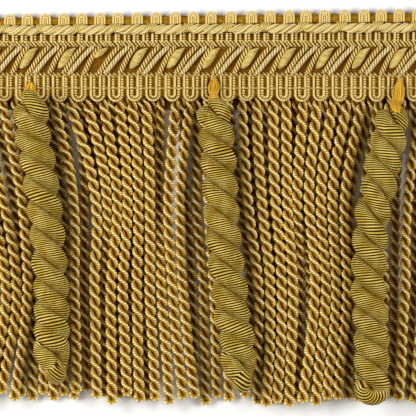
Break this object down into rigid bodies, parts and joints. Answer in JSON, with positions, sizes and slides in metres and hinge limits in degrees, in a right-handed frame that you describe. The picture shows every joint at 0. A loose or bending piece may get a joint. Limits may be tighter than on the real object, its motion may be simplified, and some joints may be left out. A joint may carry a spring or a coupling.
{
  "type": "cord fringe trim",
  "caption": "Straight length of twisted cord fringe under a woven heading with a laid cord, slanting cord bundles and hanging wound drops, lying flat.",
  "frame": {"origin": "middle of the heading's flat back, on the surface that the trim lies on", "axes": "+X along the heading, +Y towards the heading's looped top edge with the fringe towards -Y, +Z out of the trim's face"},
  "size_m": [0.237, 0.1671, 0.0203],
  "materials": {
    "gimp": "woven rayon gimp, amber ground with gold threads, ribbed",
    "edge_cord": "twisted rayon cord, cream and gold plies with a satin gloss",
    "slant_cord": "fine two-ply cords, cream between tan",
    "satin": "flat strip wound with glossy straw yellow floss",
    "strand": "two-ply twisted rayon cord, gold with pale crests and brown hollows",
    "winding": "thread wound close round a soft core, olive gold",
    "tie_yarn": "soft loose yarn, orange gold"
  },
  "bodies": {
    "root": {"heading_band": "gimp", "edge_cord": "edge_cord", "slant_cords_01": "slant_cord", "slant_cords_02": "slant_cord", "slant_cords_03": "slant_cord", "slant_cords_04": "slant_cord", "slant_cords_05": "slant_cord", "slant_cords_06": "slant_cord", "slant_cords_07": "slant_cord", "slant_cords_08": "slant_cord", "slant_cords_09": "slant_cord", "slant_cords_10": "slant_cord", "slant_cords_11": "slant_cord", "slant_cords_12": "slant_cord", "slant_cords_13": "slant_cord", "slant_cords_14": "slant_cord", "slant_cords_15": "slant_cord", "slant_cords_16": "slant_cord", "satin_strip_01": "satin", "satin_strip_02": "satin", "satin_strip_03": "satin", "satin_strip_04": "satin", "satin_strip_05": "satin", "satin_strip_06": "satin", "satin_strip_07": "satin", "satin_strip_08": "satin", "satin_strip_09": "satin", "satin_strip_10": "satin", "satin_strip_11": "satin", "satin_strip_12": "satin", "satin_strip_13": "satin", "satin_strip_14": "satin", "satin_strip_15": "satin", "fringe_skirt": "strand", "drop_1": "winding", "drop_2": "winding", "drop_3": "winding", "drop_tie_1": "tie_yarn", "drop_tie_2": "tie_yarn", "drop_tie_3": "tie_yarn"}
  },
  "joints": []
}
